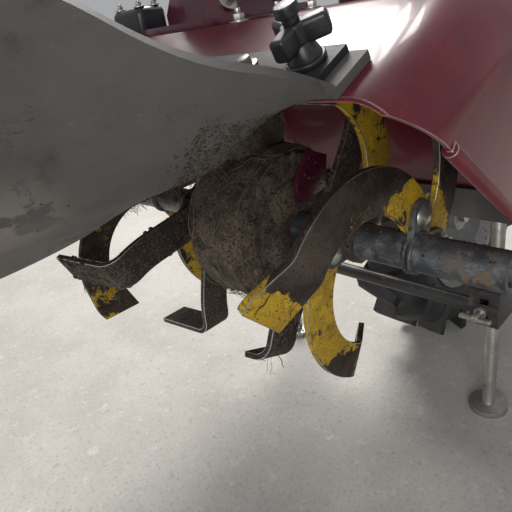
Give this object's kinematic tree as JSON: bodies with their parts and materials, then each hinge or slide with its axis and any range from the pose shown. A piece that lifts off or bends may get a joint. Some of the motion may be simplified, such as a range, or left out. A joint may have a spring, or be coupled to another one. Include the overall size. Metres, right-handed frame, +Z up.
{
  "type": "walk-behind rotary tiller",
  "caption": "One-wheel walk-behind rotary tiller with a bladed rotor under a hood, standing on its lugged wheel and rear stand.",
  "frame": {"origin": "on the floor under the middle of the machine's box", "axes": "+X to the machine's right, +Y forward, +Z up"},
  "size_m": [0.556, 1.4, 0.948],
  "materials": {
    "axle_shaft": "steel",
    "black_paint": "worn black paint",
    "black_plastic": "moulded black plastic",
    "blade_yellow": "yellow paint worn to soil and bare edges",
    "bolt_zinc": "zinc plated",
    "cast_red": "dark red painted aluminium casting",
    "dark_red": "glossy dark red paint",
    "engine_cast": "raw die cast aluminium",
    "grey_rubber": "matte grey rubber sheet with soil",
    "grip_rubber": "soft black rubber",
    "muddy_case": "cast case under dried soil",
    "red_plastic": "dark red moulded plastic",
    "silencer_steel": "heat dulled steel",
    "steel": "worn steel",
    "strip_dark": "dark painted steel strip with soil",
    "tyre": "lugged black rubber",
    "wheel_rim": "grey painted pressed steel"
  },
  "bodies": {
    "machine": {"air_cleaner": "black_plastic", "belt_cover": "dark_red", "case_guard": "dark_red", "column_head": "cast_red", "crankcase": "engine_cast", "cylinder": "engine_cast", "drive_case": "cast_red", "drive_tube": "cast_red", "engine_bed": "black_paint", "flap_strip": "strip_dark", "front_guard": "black_paint", "front_skirt": "grey_rubber", "fuel_cap": "black_plastic", "fuel_tank": "red_plastic", "handle_clamp": "cast_red", "hood": "dark_red", "hood_knobs": "black_plastic", "latch_box": "black_plastic", "rear_flap": "grey_rubber", "recoil_cover": "black_plastic", "shift_knob": "black_plastic", "shift_lever": "black_paint", "silencer": "silencer_steel", "stand_bar": "black_paint", "tine_case": "muddy_case"},
    "wheel": {"axle_shaft": "axle_shaft", "tyre": "tyre", "wheel_rim": "wheel_rim"},
    "rotor": {"blade_bolts_left": "bolt_zinc", "blade_bolts_right": "bolt_zinc", "blades_inner_left": "blade_yellow", "blades_inner_right": "blade_yellow", "blades_middle_left": "blade_yellow", "blades_middle_right": "blade_yellow", "blades_outer_left": "blade_yellow", "blades_outer_right": "blade_yellow", "rotor_shaft": "axle_shaft", "rotor_tube_left": "black_paint", "rotor_tube_right": "black_paint"},
    "handle": {"clutch_lever": "steel", "grip_left": "grip_rubber", "grip_right": "grip_rubber", "handlebar": "black_paint"},
    "stand_leg_left": {"stand_leg_left": "steel"},
    "stand_leg_right": {"stand_leg_right": "steel"}
  },
  "joints": [
    {"name": "wheel_spin", "type": "hinge", "parent": "machine", "child": "wheel", "pos_m": [0.02, 0.3, 0.19], "axis": [1, 0, 0], "continuous": true},
    {"name": "rotor_spin", "type": "hinge", "parent": "machine", "child": "rotor", "pos_m": [0, -0.078, 0.325], "axis": [1, 0, 0], "continuous": true},
    {"name": "handle_tilt", "type": "hinge", "parent": "machine", "child": "handle", "pos_m": [0, 0.132, 0.668], "axis": [1, 0, 0], "range_deg": [-22, 12]},
    {"name": "stand_slide_left", "type": "slide", "parent": "machine", "child": "stand_leg_left", "axis": [0, 0, 1], "range_m": [0, 0.12]},
    {"name": "stand_slide_right", "type": "slide", "parent": "machine", "child": "stand_leg_right", "axis": [0, 0, 1], "range_m": [0, 0.12]}
  ]
}
